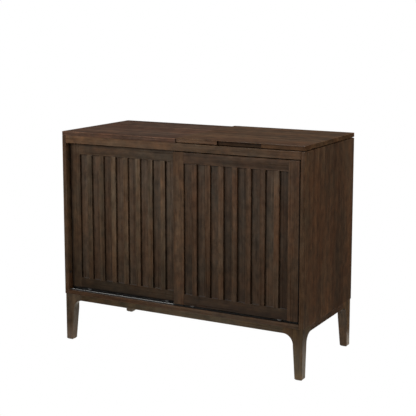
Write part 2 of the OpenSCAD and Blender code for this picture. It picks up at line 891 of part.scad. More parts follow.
module hinge_pins() {
    in_case() color(zinc) for (x = hinge_xs)
        rod([x - hinge_l / 2, hinge_y, hinge_z], [0, 90, 0], 2 * pin_r, hinge_l);
}

module case_screws() {
    in_case() color(zinc) {
        translate([0, 0, carcass_z + hinge_leaf_t]) mirror([0, 0, 1]) at_hinge_screws()
            flat_screw(hinge_case_screw_l);
        at_track_screws() pan_screw(track_screw_l);
        at_stud_screws() flat_screw(stay_screw_l);
        at_every_corner() at_block_screws() pan_screw(block_screw_l);
    }
}

// Lid

lid_bracket_l = 36;
lid_bracket_w = 16;
lid_ear_w = 18;

module at_bracket_screws() {
    for (s = [-1, 1])
        translate([ear_x - lid_bracket_w / 2, pivot_y + s * (lid_bracket_l - lid_bracket_w) / 2,
                   lid_z - plate_t]) children();
}

module lid_panel() {
    in_case() color(walnut) difference() {
        eased_board([seam / 2, half_w], [0, case_d], [lid_z, lid_top_z]);
        rod([lid_mid_x - pull_w / 2, 0, lid_top_z - pull_lip - pull_r], [0, 90, 0], 2 * pull_r, pull_w);
        translate([0, 0, lid_z - hinge_leaf_t]) at_hinge_screws() flat_screw_hole(hinge_lid_screw_l);
        at_bracket_screws() flat_screw_hole(stay_screw_l);
    }
}

module lid_screws() {
    in_case() color(zinc) {
        translate([0, 0, lid_z - hinge_leaf_t]) at_hinge_screws() flat_screw(hinge_lid_screw_l);
        at_bracket_screws() flat_screw(stay_screw_l);
    }
}

// Lid stay

// Plate on the side panel with the stud, its spacer and its button head
module stay_stud_plate() {
    in_case() color(zinc) difference() {
        union() {
            eased_board([inner_x - plate_t, inner_x],
                        [stud_y - stay_plate_w / 2, stud_y + stay_plate_w / 2],
                        [stud_z - stay_plate_h / 2, stud_z + stay_plate_h / 2]);
            rod([arm_x + arm_t + run_gap, stud_y, stud_z], [0, 90, 0], 2 * stud_d, washer_t);
            rod([arm_x - run_gap, stud_y, stud_z], [0, 90, 0], stud_d, arm_t + washer_t);
            rod([arm_x - run_gap - plate_t, stud_y, stud_z], [0, 90, 0], 2 * stud_d, plate_t);
        }
        at_stud_screws() flat_screw_hole(stay_screw_l);
    }
}

// Angle bracket under the lid with the rivet that the arm turns on
module stay_lid_bracket() {
    in_case() color(zinc) difference() {
        union() {
            board([ear_x - lid_bracket_w, ear_x + plate_t],
                  [pivot_y - lid_bracket_l / 2, pivot_y + lid_bracket_l / 2], [lid_z - plate_t, lid_z]);
            board([ear_x, ear_x + plate_t], [pivot_y - lid_ear_w / 2, pivot_y + lid_ear_w / 2],
                  [pivot_z, lid_z]);
            rod([ear_x, pivot_y, pivot_z], [0, 90, 0], lid_ear_w, plate_t);
            rod([ear_x, pivot_y, pivot_z], [0, 90, 0], rivet_d, plate_t + arm_t + 2 * run_gap);
            rod([arm_x + arm_t + run_gap, pivot_y, pivot_z], [0, 90, 0], 2 * rivet_d, washer_t / 2);
        }
        at_bracket_screws() flat_screw_hole(stay_screw_l);
    }
}

// Slotted arm from the pivot past the stud, drawn along +X and then turned down
module stay_arm() {
    slot_w = stud_d + 2 * run_gap;
    slot_a = slot_near - slot_spare;
    slot_b = slot_far + run_gap;
    in_case() color(zinc) translate([arm_x, pivot_y, pivot_z]) rotate([arm_turn, 0, 0])
        rotate([90, 0, 90]) difference() {
            union() {
                cylinder(d = arm_w, h = arm_t);
                translate([0, -arm_w / 2, 0]) cube([slot_b, arm_w, arm_t]);
                translate([slot_b, 0, 0]) cylinder(d = arm_w, h = arm_t);
            }
            translate([0, 0, -through]) {
                cylinder(d = rivet_d + 2 * pin_gap, h = arm_t + 2 * through);
                translate([slot_a, 0, 0]) cylinder(d = slot_w, h = arm_t + 2 * through);
                translate([slot_a, -slot_w / 2, 0]) cube([slot_b - slot_a, slot_w, arm_t + 2 * through]);
                translate([slot_b, 0, 0]) cylinder(d = slot_w, h = arm_t + 2 * through);
            }
        }
}

// Doors, drawn from their lower left front corner

module at_left_door() {
    in_case() translate([left_door_x, rear_door_y, door_z]) children();
}

module at_right_door() {
    in_case() translate([right_door_x, front_door_y, door_z]) children();
}

// Left stile seen from above: eased front arrises and the groove for the panel
module stile_outline() {
    difference() {
        polygon([[ease, 0], [stile_w - ease, 0], [stile_w, ease], [stile_w, door_t], [0, door_t], [0, ease]]);
        translate([stile_w - groove_depth, flute_depth]) square([groove_depth + through, door_panel_t]);
    }
}

module door_stiles() {
    linear_extrude(door_h) stile_outline();
    translate([door_w, 0, 0]) mirror([1, 0, 0]) linear_extrude(door_h) stile_outline();
}

// Bottom rail seen from its end, with the groove for the panel in its upper edge
module rail_outline() {
    difference() {
        polygon([[ease, 0], [door_t, 0], [door_t, door_rail_h], [ease, door_rail_h],
                 [0, door_rail_h - ease], [0, ease]]);
        translate([flute_depth, door_rail_h - groove_depth]) square([door_panel_t, groove_depth + through]);
    }
}

// Rail with the stub tenons that fill the ends of the grooves in the stiles
module door_rail() {
    tenon = groove_depth - board_fit;
    along_x([stile_w, door_w - stile_w]) rail_outline();
    for (x = [stile_w - tenon, door_w - stile_w])
        board([x, x + tenon], [flute_depth, flute_depth + door_panel_t], [0, door_rail_h - groove_depth]);
}

module housing_block(play) {
    for (x = roller_xs)
        board([x - housing_l / 2 - play, x + housing_l / 2 + play],
              [(door_t - housing_w) / 2 - play, (door_t + housing_w) / 2 + play],
              [-play * 10, housing_h + play]);
}

module guide_stems(play = 0) {
    for (x = roller_xs)
        rod([x, door_t / 2, door_h - guide_stem_l - play], [0, 0, 0],
            guide_stem_d + play, guide_stem_l + 2 * play);
}

module door_rails() {
    difference() {
        door_rail();
        housing_block(hole_fit);
    }
    difference() {
        translate([0, 0, door_h]) mirror([0, 0, 1]) door_rail();
        guide_stems(hole_fit);
    }
}

// Slats with eased front arrises, flush with the frame
module door_slats() {
    for (k = [0 : flutes - 2])
        translate([stile_w + flute_w + k * (flute_w + slat_w), 0, door_rail_h])
            linear_extrude(door_h - 2 * door_rail_h)
                polygon([[ease, 0], [slat_w - ease, 0], [slat_w, ease], [slat_w, flute_depth],
                         [0, flute_depth], [0, ease]]);
}

module door_panel() {
    reach = groove_depth - board_fit;
    board([stile_w - reach, door_w - stile_w + reach], [flute_depth, flute_depth + door_panel_t],
          [door_rail_h - reach, door_h - door_rail_h + reach]);
}

module roller_axle(x, play = 0) {
    rod([x, (door_t + housing_w) / 2 + play, axle_up], [90, 0, 0], axle_d + play, housing_w + 2 * play);
}

module roller_housings() {
    slot_l = 2 * (roller_r + roller_end_gap);
    slot_w = roller_w + 2 * run_gap;
    difference() {
        housing_block(0);
        for (x = roller_xs) {
            board([x - slot_l / 2, x + slot_l / 2], [(door_t - slot_w) / 2, (door_t + slot_w) / 2],
                  [-through, axle_up + roller_r + roller_top_gap]);
            roller_axle(x, hole_fit);
        }
    }
}

module roller_axles() {
    for (x = roller_xs) roller_axle(x);
}

// Grooved roller: hub, thin web and rim, with a round groove that takes the bead
module roller(k) {
    hub_r = axle_d / 2 + roller_hub_wall;
    rim_r = roller_r - roller_rim;
    bore_r = axle_d / 2 + pin_gap;
    translate([roller_xs[k], door_t / 2, axle_up]) rotate([90, 0, 0]) rotate_extrude() difference() {
        translate([bore_r, -roller_w / 2]) square([roller_r - bore_r, roller_w]);
        for (s = [-1, 1]) translate([hub_r, s > 0 ? roller_web_w / 2 : -roller_w / 2 - through])
            square([rim_r - hub_r, (roller_w - roller_web_w) / 2 + through]);
        translate([rolling_r + groove_r, 0]) circle(r = groove_r);
    }
}

// Guides that run in the channels of the upper track
module top_guides() {
    guide_stems();
    for (x = roller_xs)
        rod([x, door_t / 2, door_h], [0, 0, 0], guide_d, door_top_gap + guide_in);
}

module left_door_stiles() { at_left_door() color(walnut) door_stiles(); }
module left_door_rails() { at_left_door() color(walnut) door_rails(); }
module left_door_slats() { at_left_door() color(walnut_end) door_slats(); }
module left_door_panel() { at_left_door() color(walnut_dark) door_panel(); }
module left_door_roller_housings() { at_left_door() color(black_plastic) roller_housings(); }
module left_door_roller_axles() { at_left_door() color(zinc) roller_axles(); }
module left_door_top_guides() { at_left_door() color(black_plastic) top_guides(); }
module left_door_roller_1() { at_left_door() color(nylon) roller(0); }
module left_door_roller_2() { at_left_door() color(nylon) roller(1); }

module right_door_stiles() { at_right_door() color(walnut) door_stiles(); }
module right_door_rails() { at_right_door() color(walnut) door_rails(); }
module right_door_slats() { at_right_door() color(walnut_end) door_slats(); }
module right_door_panel() { at_right_door() color(walnut_dark) door_panel(); }
module right_door_roller_housings() { at_right_door() color(black_plastic) roller_housings(); }
module right_door_roller_axles() { at_right_door() color(zinc) roller_axles(); }
module right_door_top_guides() { at_right_door() color(black_plastic) top_guides(); }
module right_door_roller_1() { at_right_door() color(nylon) roller(0); }
module right_door_roller_2() { at_right_door() color(nylon) roller(1); }

front_left_leg();
front_right_leg();
rear_left_leg();
rear_right_leg();
front_apron();
rear_apron();
left_apron();
right_apron();
base_cross_rail();
corner_blocks();
leg_bolts();
foot_glides();
left_side_panel();
right_side_panel();
bottom_panel();
centre_divider();
fixed_top();
front_rail();
rear_rail();
left_back_panel();
right_back_panel();
back_panel_screws();
cable_grommets();
turntable_shelf();
adjustable_shelf();
shelf_pins();
record_dividers();
upper_track();
lower_tracks();
dowels();
lid_bumpers();
door_bumpers();
hinge_case_leaves();
hinge_pins();
case_screws();
stay_stud_plate();
lid_panel();
hinge_lid_leaves();
lid_screws();
stay_lid_bracket();
stay_arm();
left_door_stiles();
left_door_rails();
left_door_slats();
left_door_panel();
left_door_roller_housings();
left_door_roller_axles();
left_door_top_guides();
left_door_roller_1();
left_door_roller_2();
right_door_stiles();
right_door_rails();
right_door_slats();
right_door_panel();
right_door_roller_housings();
right_door_roller_axles();
right_door_top_guides();
right_door_roller_1();
right_door_roller_2();
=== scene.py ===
"""Looks of the record player cabinet: stained walnut, its hardware, the light and the camera."""

import math

import bpy
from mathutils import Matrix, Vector


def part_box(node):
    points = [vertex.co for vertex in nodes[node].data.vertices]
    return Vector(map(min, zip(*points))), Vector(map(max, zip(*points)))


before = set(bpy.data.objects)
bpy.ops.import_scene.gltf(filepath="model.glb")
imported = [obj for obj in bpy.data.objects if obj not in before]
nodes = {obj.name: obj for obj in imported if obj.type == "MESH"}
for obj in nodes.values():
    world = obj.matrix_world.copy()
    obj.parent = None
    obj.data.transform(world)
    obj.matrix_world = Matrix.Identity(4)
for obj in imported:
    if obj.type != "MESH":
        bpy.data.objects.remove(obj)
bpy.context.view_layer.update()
scene = bpy.context.scene


# Building blocks of a material


class Graph:
    """A material's node tree, with short calls for the nodes used here."""

    def __init__(self, name):
        self.mat = bpy.data.materials.new(name)
        self.mat.use_nodes = True
        self.tree = self.mat.node_tree
        self.tree.nodes.clear()
        out = self.tree.nodes.new("ShaderNodeOutputMaterial")
        self.shader = self.tree.nodes.new("ShaderNodeBsdfPrincipled")
        self.tree.links.new(self.shader.outputs[0], out.inputs[0])

    def put(self, socket, value):
        """Link the value to the socket where it comes from a node, and set it there otherwise."""
        if isinstance(value, bpy.types.NodeSocket):
            self.tree.links.new(value, socket)
        else:
            socket.default_value = value

    def math(self, op, a, b=0.0):
        n = self.tree.nodes.new("ShaderNodeMath")
        n.operation = op
        self.put(n.inputs[0], a)
        self.put(n.inputs[1], b)
        return n.outputs[0]

    def chain(self, op, terms):
        result = terms[0]
        for t in terms[1:]:
            result = self.math(op, result, t)
        return result

    def add(self, *terms):
        return self.chain("ADD", terms)

    def mul(self, *terms):
        return self.chain("MULTIPLY", terms)

    def place(self):
        """X, Y and Z in the object's own frame, which moves with its body."""
        coord = self.tree.nodes.new("ShaderNodeTexCoord")
        split = self.tree.nodes.new("ShaderNodeSeparateXYZ")
        self.tree.links.new(coord.outputs["Object"], split.inputs[0])
        return list(split.outputs)

    def vector(self, x, y, z):
        n = self.tree.nodes.new("ShaderNodeCombineXYZ")
        for socket, value in zip(n.inputs, (x, y, z)):
            self.put(socket, value)
        return n.outputs[0]

    def noise(self, vector, scale, detail, rough=0.5):
        n = self.tree.nodes.new("ShaderNodeTexNoise")
        self.tree.links.new(vector, n.inputs["Vector"])
        n.inputs["Scale"].default_value = scale
        n.inputs["Detail"].default_value = detail
        n.inputs["Roughness"].default_value = rough
        return n.outputs["Fac"]

    def random(self, value):
        """A number from 0 to 1 that changes with the value."""
        n = self.tree.nodes.new("ShaderNodeTexWhiteNoise")
        n.noise_dimensions = "1D"
        self.put(n.inputs["W"], value)
        return n.outputs["Value"]

    def ramp(self, value, stops, colours):
        n = self.tree.nodes.new("ShaderNodeValToRGB")
        self.put(n.inputs[0], value)
        while len(n.color_ramp.elements) < len(colours):
            n.color_ramp.elements.new(0.5)
        for e, at, colour in zip(n.color_ramp.elements, stops, colours):
            e.position = at
            e.color = (*colour, 1.0)
        return n.outputs["Color"]

    def spread(self, value, lo, hi, to_lo, to_hi):
        """The value taken from the range lo to hi into the range to_lo to to_hi, and held there."""
        n = self.tree.nodes.new("ShaderNodeMapRange")
        for socket, v in zip(n.inputs, (value, lo, hi, to_lo, to_hi)):
            self.put(socket, v)
        return n.outputs[0]

    def shade(self, colour, factor):
        n = self.tree.nodes.new("ShaderNodeVectorMath")
        n.operation = "SCALE"
        self.put(n.inputs[0], colour)
        self.put(n.inputs["Scale"], factor)
        return n.outputs[0]

    def tint(self, colour, by):
        n = self.tree.nodes.new("ShaderNodeVectorMath")
        n.operation = "MULTIPLY"
        self.put(n.inputs[0], colour)
        self.put(n.inputs[1], by)
        return n.outputs[0]

    def inside(self, place, box):
        """1 in the box and 0 outside it."""
        result = 1.0
        for v, (low, high) in zip(place, box):
            result = self.mul(result, self.math("GREATER_THAN", v, low))
            result = self.mul(result, self.math("LESS_THAN", v, high))
        return result

    def nearest(self, value, planes):
        """Distance from value to the nearest of the planes across that axis."""
        gap = None
        for p in planes:
            d = self.math("ABSOLUTE", self.math("SUBTRACT", value, p))
            gap = d if gap is None else self.math("MINIMUM", gap, d)
        return gap

    def arris(self, place, planes, reach):
        """1 on the arrises where two faces meet, falling to 0 at reach from them. planes holds the
        faces across X, Y and Z."""
        a, b, c = (self.nearest(v, p) for v, p in zip(place, planes))
        low, high = self.math("MINIMUM", a, b), self.math("MAXIMUM", a, b)
        second = self.math("MAXIMUM", low, self.math("MINIMUM", high, c))
        return self.spread(second, 0.0, reach, 1.0, 0.0)

    def bump(self, height, strength, distance):
        n = self.tree.nodes.new("ShaderNodeBump")
        n.inputs["Strength"].default_value = strength
        n.inputs["Distance"].default_value = distance
        self.put(n.inputs["Height"], height)
        self.put(self.shader.inputs["Normal"], n.outputs[0])

    def set(self, **values):
        for name, value in values.items():
            self.put(self.shader.inputs[name.replace("_", " ")], value)
        return self.mat


# Beyond the part on every side
FAR = 9.0
ALL = (-FAR, FAR)


def region(x=ALL, y=ALL, z=ALL):
    """A box, by its range along each axis, without end where none is given."""
    return x, y, z


# Wood

# Dark, middle and light tone of each wood, and where they stand in the mix of its grain
TONES_AT = (0.34, 0.50, 0.66)
WALNUT = ((0.049, 0.0260, 0.0130), (0.082, 0.0445, 0.0235), (0.125, 0.0720, 0.0390))
INSIDE = ((0.045, 0.0255, 0.0135), (0.070, 0.0405, 0.0230), (0.100, 0.0600, 0.0350))
BEECH = ((0.36, 0.22, 0.12), (0.46, 0.30, 0.175), (0.55, 0.38, 0.24))

# The hues that wood varies between, in wide areas and in flecks, and where they stand in the noise
HUES_AT = (0.38, 0.62)
WANDER = ((1.06, 0.97, 0.90), (0.94, 1.03, 1.10))
FLECK = ((1.04, 0.98, 0.93), (0.96, 1.02, 1.07))

# Casts of boards, as factors on red, green and blue
OLIVE = (0.98, 1.08, 1.12)
MOSS = (0.95, 1.07, 1.22)
FERN = (0.93, 1.14, 1.12)
AMBER = (1.01, 0.99, 0.90)
RUSSET = (1.05, 0.95, 0.82)
PLUM = (1.04, 0.96, 1.04)

# The noise fields: scale per metre across and along the grain, detail and roughness
FIELDS = {
    "broad": (11.0, 0.9, 3.0, 0.55),
    "band": (36.0, 0.9, 2.0, 0.5),
    "streak": (150.0, 3.0, 4.0, 0.65),
    "pore": (620.0, 16.0, 2.0, 0.5),
    "drift": (5.0, 1.3, 2.0, 0.5),
    "wander": (9.0, 4.0, 2.0, 0.5),
    "fleck": (30.0, 24.0, 3.0, 0.65),
    "cloud": (40.0, 28.0, 4.0, 0.7),
}

# The ranges over which two of them count, and where a noise mostly lies
PORE_RANGE = (0.58, 0.70)
CLOUD_RANGE = (0.36, 0.64)
NOISE_RANGE = (0.3, 0.7)

# Growth rings, by their pitch, around a pith that lies off the origin, slopes along the grain and
# drifts, as the rings do
RING = 0.0042
PITH_OFFSET = 0.11
PITH_SLOPE = 0.035
PITH_DRIFT = 0.10
RING_DRIFT = 0.05
LATE_POWER = 3.0

# Shares of the broad field, the streaks, the bands and the late wood in the mix, and its shift
SHARES = (0.50, 0.45, 0.40, -0.07)
MIX_SHIFT = -0.16

# Boards of one node: how far their stretches of grain are spread, and their tones to either side
CELL_SHIFT = 9.0
CELL_TONE = 0.05

# Wear and a painted highlight on the arrises: its reach, its gain, and how it breaks up along the streaks
WEAR_AND_HIGHLIGHT_REACH = 0.0022
WEAR_AND_HIGHLIGHT_GAIN = 1.45
WEAR_AND_HIGHLIGHT_RANGE = (0.35, 0.6)
WEAR_AND_HIGHLIGHT_LEAST = 0.25

# Streaks stand up from the face, by this share of the depth of the pores
STREAK_RELIEF = 0.4


def wood(name, grain, tones, seed, cell=None, rough=(0.25, 0.36), pores=0.45, mottle=0.30, planes=None,
         gain=1.0, cast=None, fade=None, patches=()):
    """Straight-grained wood, where grain is the axis that it runs along and seed picks the stretch.

    cell is (start, pitch) in metres along X: each cell is a board of its own, with its own stretch
    of grain and its own tone. pores is how much the pores darken it, and mottle how far its tone
    varies in small clouds. planes holds the board's faces across X, Y and Z, whose arrises are made
    a little lighter, both as wear and as a painted highlight. gain scales the tone and cast tints it.
    fade is (low Z, high Z, factor at low, factor at high). Each of patches is (region, factor), a tone
    or a painted shade or light on that region, and a dark one is matte too."""
    g = Graph(name)
    place = g.place()
    x, y, z = place
    u, v, w = {"X": (y, z, x), "Y": (x, z, y), "Z": (x, y, z)}[grain]
    tone = gain
    if cell:
        start, pitch = cell
        index = g.math("FLOOR", g.math("DIVIDE", g.math("SUBTRACT", x, start), pitch))
        draw = g.random(g.add(index, seed + 0.5))
        w = g.add(w, g.mul(draw, CELL_SHIFT))
        tone = g.spread(draw, 0.0, 1.0, gain * (1.0 - CELL_TONE), gain * (1.0 + CELL_TONE))
    w = g.add(w, seed)

    def field(kind):
        across, along, detail, roughness = FIELDS[kind]
        stretched = g.vector(g.mul(u, across), g.mul(v, across), g.mul(w, along))
        return g.noise(stretched, 1.0, detail, roughness)

    broad, band, streak = field("broad"), field("band"), field("streak")
    pore = g.spread(field("pore"), *PORE_RANGE, 0.0, 1.0)
    drift = field("drift")
    below = g.add(v, g.mul(w, PITH_SLOPE), PITH_OFFSET)
    aside = g.add(u, g.mul(drift, PITH_DRIFT))
    radius = g.math("SQRT", g.add(g.mul(aside, aside), g.mul(below, below)))
    ring = g.math("FRACT", g.math("DIVIDE", g.add(radius, g.mul(broad, RING_DRIFT)), RING))
    late = g.math("POWER", ring, LATE_POWER)

    mix = g.add(*map(g.mul, (broad, streak, band, late), SHARES), MIX_SHIFT)
    colour = g.tint(g.ramp(mix, TONES_AT, tones), g.ramp(field("wander"), HUES_AT, WANDER))
    colour = g.tint(colour, g.ramp(field("fleck"), HUES_AT, FLECK))
    if cast:
        colour = g.tint(colour, cast)
    factor = g.mul(tone, g.math("SUBTRACT", 1.0, g.mul(pore, pores)))
    factor = g.mul(factor, g.spread(field("cloud"), *CLOUD_RANGE, 1.0 - mottle, 1.0 + mottle))
    if fade:
        factor = g.mul(factor, g.spread(z, *fade))
    matte = g.spread(streak, *NOISE_RANGE, *rough)
    for where, amount in patches:
        inside = g.inside(place, where)
        factor = g.mul(factor, g.spread(inside, 0.0, 1.0, 1.0, amount))
        if amount < 1.0:
            matte = g.math("MAXIMUM", matte, inside)
    if planes:
        wear_and_highlight = g.mul(g.arris(place, planes, WEAR_AND_HIGHLIGHT_REACH), g.spread(streak, *WEAR_AND_HIGHLIGHT_RANGE, WEAR_AND_HIGHLIGHT_LEAST, 1.0))
        factor = g.mul(factor, g.spread(wear_and_highlight, 0.0, 1.0, 1.0, WEAR_AND_HIGHLIGHT_GAIN))
    relief = g.math("SUBTRACT", g.mul(streak, STREAK_RELIEF), pore)
    g.bump(relief, strength=0.15, distance=0.0003)
    return g.set(Base_Color=g.shade(colour, factor), Roughness=matte, Specular_IOR_Level=0.45)


# Metal, plastic and rubber


def varied(g, fine, colour, rough, least, swing):
    """A colour and a roughness that vary with a fine noise: the colour down to the share least of
    itself, and the roughness by swing to either side."""
    tint = g.ramp(fine, NOISE_RANGE, ([c * least for c in colour], colour))
    return tint, g.spread(fine, *NOISE_RANGE, rough - swing, rough + swing)


def metal(name, colour, rough, brushed=False, patch=None):
    """Plated or, where brushed, drawn along X. patch is (region, factor)."""
    g = Graph(name)
    x, y, z = g.place()
    if brushed:
        along, across = 4.0, 900.0
        stretched = g.vector(g.mul(x, along), g.mul(y, across), g.mul(z, across))
        fine = g.noise(stretched, scale=1.0, detail=2.0)
    else:
        fine = g.noise(g.vector(x, y, z), scale=260.0, detail=4.0)
    g.bump(fine, strength=0.08, distance=0.0002)
    tint, matte = varied(g, fine, colour, rough, least=0.86, swing=0.07)
    if patch:
        where, amount = patch
        tint = g.shade(tint, g.spread(g.inside((x, y, z), where), 0.0, 1.0, 1.0, amount))
    return g.set(Base_Color=tint, Metallic=1.0, Roughness=matte)


def moulded(name, colour, rough):
    """Plastic or rubber."""
    g = Graph(name)
    fine = g.noise(g.vector(*g.place()), scale=700.0, detail=2.0)
    g.bump(fine, strength=0.12, distance=0.0002)
    tint, matte = varied(g, fine, colour, rough, least=0.9, swing=0.05)
    return g.set(Base_Color=tint, Roughness=matte)


# Which look each node takes

# Sizes in the part's source
SLATS = 7
SLAT_W = 0.020
STILE_W = 0.043
DOOR_RAIL_H = 0.040
PULL_W = 0.172
PULL_DEPTH = 0.008
PULL_LIP = 0.002

# How far a region's border stands clear of a face
SKIN = 0.0003

looks = {}


def dress(mat, *names):
    for n in names:
        looks[n] = mat


def faces(node, x=(), z=()):
    """The node's outer faces across each axis, with any inner ones given."""
    lo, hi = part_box(node)
    planes = [[lo[k], hi[k]] for k in range(3)]
    planes[0] += x
    planes[2] += z
    return planes


def board(node, grain, seed, tones=WALNUT, **more):
    """Wood of its own for one node, with wear and a painted highlight on its outer arrises unless more
    gives other planes.
    """
    more.setdefault("planes", faces(node))
    dress(wood("walnut_" + node, grain, tones, seed, **more), node)


# Boards of the case

# Painted light on the left panel's inner face, of which a strip shows beside the door
lo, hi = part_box("left_side_panel")
lit_inner_face = region(x=(hi[0] - SKIN, FAR))
board("left_side_panel", "Z", seed=1.0, patches=[(lit_inner_face, 1.7)])
board("right_side_panel", "Z", seed=4.0, gain=0.91, cast=RUSSET)
board("front_rail", "X", seed=5.1, gain=1.38, cast=AMBER)

# What doesn't show from the front is calmer
calm = dict(tones=INSIDE, mottle=0.15)
for n, seed in {"centre_divider": 7.0, "left_back_panel": 2.3, "right_back_panel": 5.9,
                "record_dividers": 8.4}.items():
    board(n, "Z", seed, **calm)
for n, seed in {"rear_rail": 5.5, "turntable_shelf": 7.7, "adjustable_shelf": 8.8}.items():
    board(n, "X", seed, **calm)

# The lid has painted shade in its finger pull, where it is also matte, and painted shade on its front edge
# to the right of the pull and on its right end
lo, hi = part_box("lid_panel")
middle = (lo[0] + hi[0]) / 2
half_pull = PULL_W / 2 + SKIN
pull = region(x=(middle - half_pull, middle + half_pull), y=(lo[1] + SKIN, lo[1] + PULL_DEPTH + SKIN),
              z=(-FAR, hi[2] - PULL_LIP + SKIN))
shaded_front_edge = region(x=(middle + half_pull, hi[0] - SKIN), y=(-FAR, lo[1] + SKIN))
shaded_right_edge = region(x=(hi[0] - SKIN, FAR))
board("lid_panel", "X", seed=3.9, gain=1.42, cast=RUSSET,
      patches=[(pull, 0.3), (shaded_front_edge, 0.75), (shaded_right_edge, 0.65)])

# The fixed top has painted shade at the front end of the seam beside the lid, and a painted highlight on
# its front arris
SEAM_EDGE = 0.002
ARRIS_DEPTH = 0.0025
ARRIS_H = 0.0015
lo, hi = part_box("fixed_top")
seam = region(x=(hi[0] - SEAM_EDGE, FAR), y=(-FAR, lo[1] + SEAM_EDGE))
front_arris = region(y=(-FAR, lo[1] + ARRIS_DEPTH), z=(hi[2] - ARRIS_H, FAR))
board("fixed_top", "X", seed=1.7, gain=1.22, cast=PLUM, patches=[(seam, 0.25), (front_arris, 1.3)])

# The bottom panel has a strip of painted shade where the tracks lie under the doors, from and to these
# distances behind its front edge
STRIP_FROM = 0.006
STRIP_TO = 0.050
lo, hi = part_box("bottom_panel")
shaded_track_strip = region(y=(lo[1] + STRIP_FROM, lo[1] + STRIP_TO), z=(hi[2] - SKIN, FAR))
board("bottom_panel", "X", seed=6.6, gain=0.9, patches=[(shaded_track_strip, 0.15)])


# Boards of the base

for n, seed in {"front_apron": 2.9, "rear_apron": 9.3}.items():
    board(n, "X", seed, gain=0.9, cast=FERN)
for n, seed in {"left_apron": 3.1, "right_apron": 6.4, "base_cross_rail": 8.2}.items():
    board(n, "Y", seed)
# The front right leg is painted lighter towards its foot, and the rear right leg lighter all over: painted
# light such as the floor throws
legs = {
    "front_left_leg": dict(seed=1.2, gain=1.08, cast=(0.98, 1.13, 1.22)),
    "front_right_leg": dict(seed=4.9, gain=0.87, cast=(0.96, 1.0, 0.76), fade=(0.0, 0.045, 1.6, 1.0)),
    "rear_left_leg": dict(seed=6.8, gain=1.05, cast=OLIVE),
    "rear_right_leg": dict(seed=9.1, gain=1.4, cast=(1.08, 1.12, 0.98)),
}
for n, look in legs.items():
    board(n, "Z", **look)


# Doors

# How dark the panel and the stiles, and the rails, are at the foot
STILE_FOOT = 0.58
RAIL_FOOT = 0.32


def slat_cells(node):
    """Cells along X that each hold one slat, with their bounds in the middle of the flutes."""
    lo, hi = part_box(node)
    pitch = (hi[0] - lo[0] - SLAT_W) / (SLATS - 1)
    return lo[0] + SLAT_W / 2 - pitch / 2, pitch


def stile_cells(node):
    """Two cells along X, one for each stile, that reach past the door's ends."""
    lo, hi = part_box(node)
    spare = 0.01
    return lo[0] - spare, (hi[0] - lo[0]) / 2 + spare


def door(side, edges, seed, panel_seed, panel_gain, slat_gain, slat_foot, stile_gain, rail_gain, cast=None):
    """A door that gets darker from mid-height down to its foot, with patches on stiles and rails."""
    panel, slats, stiles, rails = (side + "_door_" + k for k in ("panel", "slats", "stiles", "rails"))
    lo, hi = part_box(stiles)
    lower_half = (lo[2], (lo[2] + hi[2]) / 2)
    fade = (*lower_half, STILE_FOOT, 1.0)
    # The calls give the panel, which is the ground of the flutes, a lower gain than the slats: painted
    # shade in the flutes
    board(panel, "Z", panel_seed, gain=panel_gain, cast=MOSS, fade=fade)
    board(slats, "Z", seed, cell=slat_cells(slats), planes=None, gain=slat_gain, cast=cast,
          fade=(*lower_half, slat_foot, 1.0))
    board(stiles, "Z", seed + 1.0, cell=stile_cells(stiles), gain=stile_gain, cast=cast, fade=fade,
          patches=edges, planes=faces(stiles, x=[lo[0] + STILE_W, hi[0] - STILE_W]))
    board(rails, "X", seed + 2.4, gain=rail_gain, cast=cast, fade=(*lower_half, RAIL_FOOT, 1.0),
          patches=edges, planes=faces(rails, z=[lo[2] + DOOR_RAIL_H, hi[2] - DOOR_RAIL_H]))


# The left door has painted shade at its foot and, in two steps, a painted shadow of the side panel along
# its left edge
FOOT_H = 0.004
EDGE_W = 0.0035
SHADE_W = 0.010
lo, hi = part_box("left_door_stiles")
foot = region(z=(-FAR, lo[2] + FOOT_H))
left_edge_shadow = region(x=(-FAR, lo[0] + EDGE_W))
left_shade = region(x=(-FAR, lo[0] + SHADE_W))
door("left", [(foot, 0.4), (left_edge_shadow, 0.5), (left_shade, 0.8)], seed=2.0, panel_seed=3.3,
     panel_gain=1.04, slat_gain=1.38, slat_foot=0.44, stile_gain=1.1, rail_gain=1.1, cast=OLIVE)

# The right door has a painted shadow along its right edge, in the gap beside the side panel, and a slightly
# darker left stile
lo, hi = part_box("right_door_stiles")
shaded_right_edge = region(x=(hi[0] - EDGE_W, FAR))
left_stile = region(x=(-FAR, lo[0] + STILE_W))
door("right", [(shaded_right_edge, 0.15), (left_stile, 0.86)], seed=5.0, panel_seed=6.1,
     panel_gain=0.88, slat_gain=1.09, slat_foot=0.56, stile_gain=1.28, rail_gain=1.08)


# Beech and hardware

dress(wood("beech", "Z", BEECH, 1.0, rough=(0.5, 0.65), pores=0.15, mottle=0.1), "corner_blocks", "dowels")
dress(metal("zinc", (0.62, 0.62, 0.60), 0.34), "leg_bolts", "back_panel_screws", "shelf_pins",
      "hinge_case_leaves", "hinge_pins", "case_screws", "stay_stud_plate", "hinge_lid_leaves",
      "lid_screws", "stay_lid_bracket", "stay_arm", "left_door_roller_axles", "right_door_roller_axles")

# Dark aluminium. The front one of the lower tracks has a painted highlight along its left half, which the
# right door leaves open to the light
DARK_ALUMINIUM = (0.045, 0.045, 0.044)
HIGHLIGHT_END = -0.020
HIGHLIGHT_DEPTH = 0.004
lo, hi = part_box("lower_tracks")
highlit_track = region(x=(-FAR, HIGHLIGHT_END), y=(-FAR, lo[1] + HIGHLIGHT_DEPTH))
dress(metal("dark_aluminium", DARK_ALUMINIUM, 0.42, brushed=True), "upper_track")
dress(metal("highlit_aluminium", DARK_ALUMINIUM, 0.42, brushed=True, patch=(highlit_track, 6.5)), "lower_tracks")

